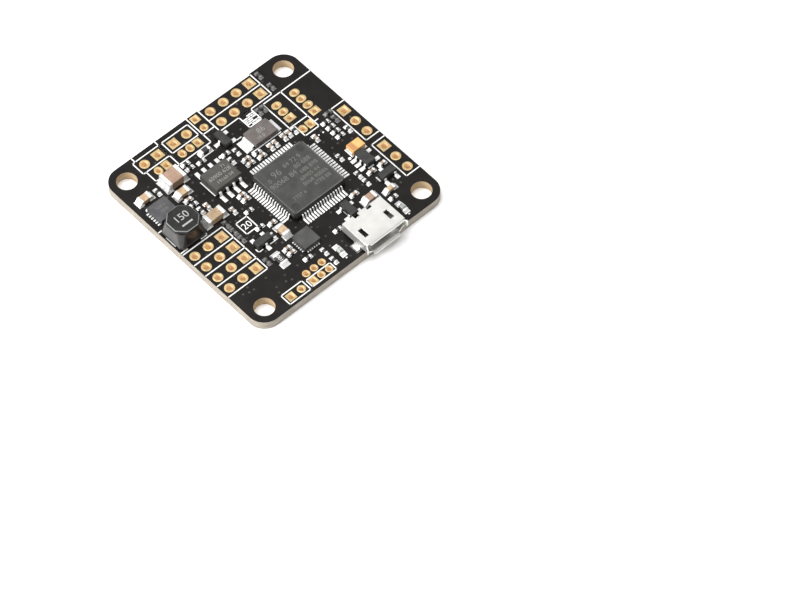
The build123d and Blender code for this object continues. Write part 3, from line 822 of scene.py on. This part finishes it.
    def dot(self, x: float, y: float, radius: float) -> Piece:
        """One inked dot, slightly domed.

        Args:
            x: centre.
            y: centre.
            radius: millimetres.

        Returns:
            The dot.
        """
        Bench.clear()
        bpy.ops.mesh.primitive_cylinder_add(
            vertices=24, radius=radius * MM, depth=self.ink * MM,
            location=(x * MM, y * MM, self.top + self.ink * MM / 2))
        piece = bpy.context.object
        Bench.settle(piece)
        Bench.choose(piece, "FACE", lambda face: face.normal.z > 0.9)
        bpy.ops.mesh.inset(thickness=0.05 * MM)
        bpy.ops.object.mode_set(mode="OBJECT")
        return piece

    def hatch(self, area: Span, draw: random.Random) -> list[Piece]:
        """Short ticks and squares that fill an area as a printed code would.

        Args:
            area: lowest and highest x and y.
            draw: the seeded source of the ticks' lengths.

        Returns:
            The ticks.
        """
        x0, y0, x1, y1 = area
        ticks = []
        y = y0
        while y <= y1:
            x = x0
            while x < x1:
                run = draw.choice((0.15, 0.3, 0.6))
                end = min(x + run, x1)
                if draw.random() < 0.8:
                    ticks.append(self.stroke(x, y, end, y, 0.24))
                x = end + 0.33
            y += 0.34
        return ticks


# Solder

@dataclass
class Solder:
    """Solder on every land, and a fillet against every chip's end cap.

    Attributes:
        pillow: height of the solder on a land.
        climb: how far up the end cap the fillet climbs, as a share of its height.
        chips: the starts of the names of the chips that have fillets.
    """

    pillow: float = 0.05
    climb: float = 0.72
    chips: tuple[str, ...] = (
        "capacitor_0402", "capacitor_0603", "capacitor_0805", "capacitor_0805_port", "capacitor_1206",
        "capacitor_1210", "resistor_0402", "resistor_0805", "small_diode", "status_light",
    )

    def build(self) -> None:
        """Model one pillow and one fillet, and copy them to every joint."""
        self.lands = loose_blocks("solder_lands")
        unit = self.unit_pillow()
        pillows = []
        for land in self.lands:
            size = Vector((land.size.x, land.size.y, self.pillow * MM))
            lift = Matrix.Translation(Vector((land.centre.x, land.centre.y, land.high.z)))
            pillows.append(Bench.copy(unit, lift @ Matrix.Diagonal((*size, 1.0))))
        bpy.data.objects.remove(unit)
        pillows = Bench.dress(Bench.join(pillows, "solder_pillows"), Look.TIN, "bright_solder", 60)
        Bench.touch(pillows, Look.DARK_TIN, DARK_TIN_SPOTS)
        wedge = self.unit_fillet()
        fillets = [piece for chip in self.chips for piece in self.chip_fillets(chip, wedge)]
        bpy.data.objects.remove(wedge)
        fillets = Bench.dress(Bench.join(fillets, "solder_fillets"), Look.TIN, "bright_solder", 60)
        Bench.touch(fillets, Look.DARK_TIN, DARK_TIN_SPOTS)

    def unit_pillow(self) -> Piece:
        """A rounded cushion one unit wide, deep and high, standing on the origin."""
        piece = Bench.slab(Vector((-0.5, -0.5, -0.2)), Vector((0.5, 0.5, 1.0)), 0.14, 3)
        piece.name = "pillow"
        return piece

    def unit_fillet(self) -> Piece:
        """A hollow-fronted wedge one unit long and high, its back at x = 0.

        Everything over its base is narrowed, since the rounded front is still selected.

        Returns:
            The wedge.
        """
        Bench.clear()
        bpy.ops.mesh.primitive_cube_add(size=1.0, location=(0.5, 0.0, 0.5))
        piece = bpy.context.object
        Bench.settle(piece)
        points = piece.data.vertices
        Bench.choose(piece, "EDGE", lambda edge: all(min(points[v].co.xz) > 0.9 for v in edge.vertices))
        bpy.ops.mesh.bevel(offset=0.93, segments=5, profile=0.22)
        bpy.ops.object.mode_set(mode="OBJECT")
        for vertex in piece.data.vertices:
            vertex.select = vertex.co.z > 0.4
        bpy.ops.object.mode_set(mode="EDIT")
        bpy.ops.mesh.select_mode(type="VERT")
        bpy.ops.transform.resize(value=(1.0, 0.86, 1.0), center_override=(0.0, 0.0, 0.0))
        bpy.ops.object.mode_set(mode="OBJECT")
        piece.name = "fillet"
        return piece

    def chip_fillets(self, chip: str, wedge: Piece) -> list[Piece]:
        """The fillets of one kind of chip.

        Args:
            chip: the start of the names of its two nodes.
            wedge: the unit fillet.

        Returns:
            One fillet for every end cap.
        """
        bodies = loose_blocks(chip + "_body")
        fillets = []
        for cap in loose_blocks(chip + "_ends"):
            body = min(bodies, key=lambda block: (block.centre - cap.centre).length)
            land = min(self.lands, key=lambda block: (block.centre.xy - cap.centre.xy).length)
            away = (cap.centre - body.centre).xy
            upright = abs(away.y) > abs(away.x)
            axis = 1 if upright else 0
            sign = 1.0 if away[axis] > 0 else -1.0
            face = cap.high[axis] if sign > 0 else cap.low[axis]
            toe = land.high[axis] if sign > 0 else land.low[axis]
            length = max(abs(toe - face), 0.05 * MM)
            width = min(land.size[1 - axis], cap.size[1 - axis] * 1.12)
            turn = math.radians({(0, 1.0): 0, (1, 1.0): 90, (0, -1.0): 180, (1, -1.0): 270}[(axis, sign)])
            start = Vector((cap.centre.x, cap.centre.y, cap.low.z))
            start[axis] = face - sign * 0.01 * MM
            matrix = Matrix.Translation(start) @ Matrix.Rotation(turn, 4, "Z")
            matrix = matrix @ Matrix.Diagonal((length, width, cap.size.z * self.climb, 1.0))
            fillets.append(Bench.copy(wedge, matrix))
        return fillets


# Chips and other parts

@dataclass
class Package:
    """One kind of part: its body with rounded edges, and its metal.

    Attributes:
        part: the start of the names of its CAD nodes.
        metal: the end of the name of its metal's node.
        look: the body's finish.
        slot: the body's record slot.
        rounding: the rounding of the body's edges.
        metal_rounding: the rounding of the metal's edges.
    """

    part: str
    metal: str
    look: Look
    slot: str
    rounding: float = 0.05
    metal_rounding: float = 0.02

    def build(self) -> None:
        """Round and dress the part."""
        case = Bench.rounded(self.part + "_body", self.part + "_case", self.rounding)
        Bench.dress(case, self.look, self.slot)
        node = f"{self.part}_{self.metal}"
        metal = Bench.rounded(node, node + "_formed", self.metal_rounding)
        Bench.dress(metal, Look.TIN, "bright_solder")
        if self.part == "resistor_0402":
            Bench.touch(metal, Look.DARK_TIN, DARK_TIN_SPOTS)


@dataclass
class Marking:
    """Rows of digits on a package's top, in place of its own lettering.

    Attributes:
        part: the start of the package's node names.
        rows: the digits of each row, their height, and their middle from the package's.
        look: the ink.
        turn: degrees about Z.
        thickness: the ink's thickness.
    """

    part: str
    rows: tuple[tuple[str, float, float, float], ...]
    look: Look = Look.INK_GREY
    turn: float = 0.0
    thickness: float = 0.006

    def build(self) -> None:
        """Print the rows."""
        low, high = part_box(self.part + "_body")
        middle = (low + high) / 2
        lines = []
        for words, height, along, across in self.rows:
            spot = Vector((middle.x + along * MM, middle.y + across * MM, high.z))
            lines.append(Bench.number(words, spot, height, self.thickness, self.turn))
        Bench.dress(Bench.join(lines, self.part + "_marking"), self.look, "white_plastic", 0)


@dataclass
class Processor:
    """The processor: painted shade on its side walls and in its two round dimples, and a painted highlight round its
    top for the light along the mould's edge.

    Attributes:
        inset: how far the painted highlight is from the body's sides.
        width: width of the line.
        thickness: how far the line rises.
        cut: how much of the line is left out at each corner.
        dimple_reach: how far the dimples are from the middle along each axis.
        dimple_radius: radius of a dimple.
    """

    inset: float = 0.3
    width: float = 0.09
    thickness: float = 0.006
    cut: float = 0.35
    dimple_reach: float = 3.75
    dimple_radius: float = 0.65

    def build(self) -> None:
        """Round the body, paint shade on its walls and dimples, and draw the four strokes of painted highlight."""
        low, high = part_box("processor_body")
        Package("processor", "leads", Look.CHIP_GREY, "package_grey", 0.06).build()
        case = bpy.data.objects["processor_case"]
        # Painted shade: the side walls take the darker mould, for the shade they lie in.
        Bench.shade(case, Look.CHIP_DARK, lambda face: face.normal.z < 0.45)
        middle = (low + high) / (2 * MM)
        steps = (-self.dimple_reach, self.dimple_reach)
        spots = [(middle.x + step, middle.y + step) for step in steps]
        # Painted shade in the dimples: their faces take the darker mould copy.
        Bench.touch(case, Look.CHIP_DIMPLE_SHADE, spots, self.dimple_radius)
        # Painted highlight: four pale strokes just inside the top's edges stand for the light along the mould's edge.
        edge, half, top = self.inset * MM, self.width * MM / 2, high.z
        x0, x1, y0, y1 = low.x + edge, high.x - edge, low.y + edge, high.y - edge
        cut = self.cut * MM
        strokes = []
        for a, b in (((x0, y0 + cut), (x0, y1 - cut)), ((x0 + cut, y0), (x1 - cut, y0)),
                     ((x1, y0 + cut), (x1, y1 - cut)), ((x0 + cut, y1), (x1 - cut, y1))):
            first = Vector((min(a[0], b[0]) - half, min(a[1], b[1]) - half, top - 0.02 * MM))
            last = Vector((max(a[0], b[0]) + half, max(a[1], b[1]) + half, top + self.thickness * MM))
            strokes.append(Bench.slab(first, last, 0.002 * MM))
        Bench.dress(Bench.join(strokes, "processor_painted_highlight"), Look.INK_GREY, "package_grey", 0)


@dataclass
class Choke:
    """The choke: ferrite plates, a resin-coated winding and a value on top.

    Attributes:
        value: the digits.
        digit_height: height of the digits.
        ink: the ink's thickness.
        rim: how far under the top the bare plate ends.
        plate_rounding: the rounding of the plates' edges.
        bar: half the length, and the nearer and farther edge below the middle, of the bar.
    """

    value: str = "150"
    digit_height: float = 1.28
    ink: float = 0.012
    rim: float = 1.0
    plate_rounding: float = 0.09
    bar: tuple[float, float, float] = (0.95, 0.95, 1.24)

    def build(self) -> None:
        """Dress the core and print its value and polarity bar."""
        low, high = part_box("choke_core")
        plates = Bench.rounded("choke_core", "choke_plates", self.plate_rounding)
        Bench.dress(plates, Look.FERRITE, "ferrite")
        rim = high.z - self.rim * MM
        Bench.shade(plates, Look.RESIN, lambda face: face.center.z < rim)
        # Painted highlight: the bevel faces above the rim take the light grey.
        Bench.shade(plates, Look.PLATE_EDGE_HIGHLIGHT, lambda face: face.center.z > rim and 0.3 < face.normal.z < 0.93)
        Bench.dress(Bench.rounded("choke_winding", "choke_resin", 0.12, 3), Look.RESIN, "winding_coat")
        Bench.dress(Bench.rounded("choke_terminals", "choke_feet", 0.03), Look.TIN, "bright_solder")
        middle = (low + high) / 2
        spot = Vector((middle.x, middle.y + 0.3 * MM, high.z))
        digits = Bench.number(self.value, spot, self.digit_height, self.ink)
        half, near, far = self.bar
        bar = Bench.slab(
            Vector((middle.x - half * MM, middle.y - far * MM, high.z - 0.004 * MM)),
            Vector((middle.x + half * MM, middle.y - near * MM, high.z + self.ink * MM)), 0.006 * MM)
        Bench.dress(Bench.join([digits, bar], "choke_value"), Look.INK_PALE, "white_plastic", 0)


@dataclass
class Receptacle:
    """The micro receptacle, with the folds of its shell rounded.

    Attributes:
        fold: the rounding of the folds.
    """

    fold: float = 0.12

    def build(self) -> None:
        """Dress the shell, insulator and contacts."""
        shell = Bench.rounded("receptacle_shell", "receptacle_folded_shell", self.fold, 3)
        Bench.dress(shell, Look.STEEL, "steel")
        block = Bench.rounded("receptacle_insulator", "receptacle_block", 0.05)
        Bench.dress(block, Look.INSULATOR, "insulator")
        Bench.paint("receptacle_contacts", Look.GOLD)


@dataclass
class Tantalum:
    """The moulded capacitor with its polarity band.

    Attributes:
        band: the band's share of the body's length.
    """

    band: float = 0.42

    def build(self) -> None:
        """Dress the block and wrap its band."""
        Package("tantalum", "terminals", Look.YELLOW, "tantalum_yellow", 0.06).build()
        low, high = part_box("tantalum_body")
        edge = 0.012 * MM
        inset = 0.09 * MM
        piece = Bench.slab(
            Vector((low.x + inset, low.y + inset, high.z - 0.3 * MM)),
            Vector((low.x + (high.x - low.x) * self.band, high.y - inset, high.z + edge)), 0.05 * MM, 3)
        piece.name = "tantalum_band"
        Bench.dress(piece, Look.ORANGE, "tantalum_yellow")


@dataclass
class StatusLights:
    """Two small lights: white base, clear lens, metal ends.

    Attributes:
        bonds: middles of the wire bonds seen in a lens, along it, and their size.
    """

    bonds: tuple[tuple[float, float, float], ...] = ((0.33, 0.18, 0.34), (0.0, 0.12, 0.2), (-0.33, 0.2, 0.5))

    def build(self) -> None:
        """Dress the lights."""
        Package("status_light", "ends", Look.WHITE, "white_plastic", 0.02).build()
        lens = Bench.rounded("status_light_lens", "status_light_domes", 0.05, 3)
        Bench.dress(lens, Look.LENS, "lens_clear")
        pads = []
        for block in loose_blocks("status_light_lens"):
            for along, length, width in self.bonds:
                half = Vector((width / 2, length / 2, 0.0)) * MM
                middle = Vector((block.centre.x, block.centre.y + along * MM, block.high.z))
                low = middle - half - Vector((0, 0, 0.01 * MM))
                high = middle + half + Vector((0, 0, 0.008 * MM))
                pads.append(Bench.slab(low, high, 0.006 * MM))
        Bench.dress(Bench.join(pads, "status_light_bonds"), Look.BOND, "lens_clear", 0)


# Studio

@dataclass
class Studio:
    """The pale floor, soft lights and camera.

    Attributes:
        focal: the camera's focal length, in the unit of frame_width.
        frame_width: width of the picture.
        azimuth: the camera's turn about Z, degrees.
        elevation: how far the camera looks down, degrees.
        roll: the camera's turn about its own axis, degrees.
        distance: from the camera to its target, metres.
        target: what the camera looks at, metres.
        surround: strength of the surround's light.
        softboxes: name, place and size in metres, and power in watts, of each light.
    """

    focal: float = 4750.0
    frame_width: float = 797.0
    azimuth: float = -40.907
    elevation: float = 55.034
    roll: float = -1.567
    distance: float = 0.6817
    target: tuple[float, float, float] = (-0.000159, -0.02725, 0.0016)
    surround: float = 0.6
    softboxes: tuple[tuple[str, tuple[float, float, float], float, float], ...] = (
        ("overhead", (-0.1, 0.15, 1.1), 1.0, 11.5),
        ("left", (-0.75, 0.2, 0.38), 0.5, 8.0),
    )

    def build(self) -> None:
        """Set up the floor, lights, world and camera."""
        self.floor()
        self.lights()
        self.camera()

    def floor(self) -> None:
        """A wide pale floor under the board."""
        Bench.clear()
        bpy.ops.mesh.primitive_plane_add(size=4.0, location=(0, 0, 0))
        floor = bpy.context.object
        floor.name = "floor"
        Bench.settle(floor)
        graph = Graph("pale_floor")
        graph.shader.inputs["Base Color"].default_value = (0.93, 0.93, 0.93, 1.0)
        graph.constant("Roughness", 0.9)
        graph.constant("Specular IOR Level", 0.1)
        floor.data.materials.append(graph.material)

    def lights(self) -> None:
        """A white surround and the soft lights."""
        world = bpy.data.worlds.new("surround")
        bpy.context.scene.world = world
        world.use_nodes = True
        background = world.node_tree.nodes["Background"]
        background.inputs["Color"].default_value = (1.0, 1.0, 1.0, 1.0)
        background.inputs["Strength"].default_value = self.surround
        for name, spot, size, power in self.softboxes:
            Bench.clear()
            bpy.ops.object.light_add(type="AREA", location=spot)
            light = bpy.context.object
            light.name = name
            light.data.shape = "DISK"
            light.data.size = size
            light.data.energy = power
            light.rotation_euler = (-Vector(spot)).to_track_quat("-Z", "Y").to_euler()
        bpy.context.scene.view_settings.view_transform = "Standard"

    def camera(self) -> None:
        """The camera, at the angle the board is seen from."""
        azimuth, elevation, roll = (math.radians(v) for v in (self.azimuth, self.elevation, self.roll))
        level = math.cos(elevation)
        back = Vector((math.sin(azimuth) * level, -math.cos(azimuth) * level, math.sin(elevation)))
        right = Vector((math.cos(azimuth), math.sin(azimuth), 0.0))
        up = back.cross(right)
        turned_right = right * math.cos(roll) + up * math.sin(roll)
        turned_up = up * math.cos(roll) - right * math.sin(roll)
        data = bpy.data.cameras.new("camera")
        data.sensor_width = 36.0
        data.lens = data.sensor_width * self.focal / self.frame_width
        data.clip_end = 20.0
        camera = bpy.data.objects.new("camera", data)
        bpy.context.scene.collection.objects.link(camera)
        turn = Matrix((turned_right, turned_up, back)).transposed().to_4x4()
        camera.matrix_world = Matrix.Translation(Vector(self.target) + back * self.distance) @ turn
        bpy.context.scene.camera = camera


PACKAGES: tuple[Package, ...] = (
    Package("memory_chip", "leads", Look.CHIP_OLIVE, "package_grey", 0.06),
    Package("motion_sensor", "contacts", Look.CHIP_BLACK, "package_black", 0.03),
    Package("buck_regulator", "contacts", Look.CHIP_VIOLET, "package_violet", 0.04),
    Package("low_drop_regulator", "leads", Look.CHIP_DARK, "package_black"),
    Package("surge_guard", "leads", Look.CHIP_DARK, "package_black"),
    Package("transistor", "leads", Look.CHIP_DARK, "package_black"),
    Package("power_diode", "terminals", Look.CHIP_BROWN, "package_brown", 0.08, 0.04),
    Package("small_diode", "ends", Look.CHIP_DARK, "package_black", 0.03),
    Package("capacitor_0402", "ends", Look.SMALL_BEIGE, "ceramic_beige", 0.02, 0.03),
    Package("capacitor_0603", "ends", Look.BEIGE, "ceramic_beige", 0.03, 0.04),
    Package("capacitor_0805", "ends", Look.BEIGE, "ceramic_beige", 0.04, 0.06),
    Package("capacitor_0805_port", "ends", Look.BROWN, "ceramic_brown", 0.04, 0.06),
    Package("capacitor_1206", "ends", Look.BEIGE, "ceramic_beige", 0.05, 0.08),
    Package("capacitor_1210", "ends", Look.BROWN, "ceramic_brown", 0.05, 0.08),
    Package("resistor_0402", "ends", Look.GLAZE, "resistor_face", 0.02, 0.03),
    Package("resistor_0805", "ends", Look.GLAZE, "resistor_face", 0.03, 0.04),
)

MARKINGS: tuple[Marking, ...] = (
    Marking("processor", (
        ("0", 0.8, -3.6, 2.15), ("96", 1.2, -2.0, 2.6), ("90068 84", 0.95, -1.95, 1.0),
        ("64 72 9", 0.8, 1.2, 2.9), ("80 688", 0.8, 2.2, 1.7), ("688 898", 0.75, 2.4, 0.5),
        ("68905 44", 0.7, 1.7, -0.6), ("8068 90886", 0.7, 1.9, -1.6), ("4770 88", 0.7, 2.4, -2.6),
        ("7707 6", 0.65, -2.0, -2.6),
    )),
    Marking("memory_chip", (
        ("71", 0.6, 1.2, 0.95), ("60900 628", 0.7, -0.1, 0.1), ("19160 04", 0.6, 0.1, -0.95),
    ), Look.INK_MID),
    Marking("power_diode", (("86", 1.0, 0.2, 0.2), ("19 0", 0.6, -0.6, -0.8)), Look.INK_MID),
    Marking("buck_regulator", (("90806", 0.5, 0.0, 0.5), ("6806", 0.5, 0.1, -0.3))),
    Marking("resistor_0805", (("100", 0.62, 0.0, 0.0),), Look.SILK, 90.0),
)

# Middles of the joints given darker tin: some small parts' ends and the receptacle's ear lands, millimetres
DARK_TIN_SPOTS: list[Place] = [
    (11.7, 16.7), (11.7, 13.9), (7.3, 11.6), (8.2, 11.6), (-9.75, -0.6), (-9.75, -2.35), (-9.75, -4.1),
    (-9.75, -9.6), (14.6, 4.55), (14.7, 3.0), (1.35, -16.5), (9.05, -16.5),
]


def main() -> None:
    """Build the board, part by part, then the studio."""
    logging.basicConfig(level=logging.INFO, format="%(name)s %(message)s")
    Board().build()
    Vias().build()
    Silkscreen().build()
    Solder().build()
    for package in PACKAGES:
        package.build()
    for marking in MARKINGS:
        marking.build()
    Processor().build()
    Choke().build()
    Receptacle().build()
    Tantalum().build()
    StatusLights().build()
    Studio().build()


if __name__ == "__main__":
    main()
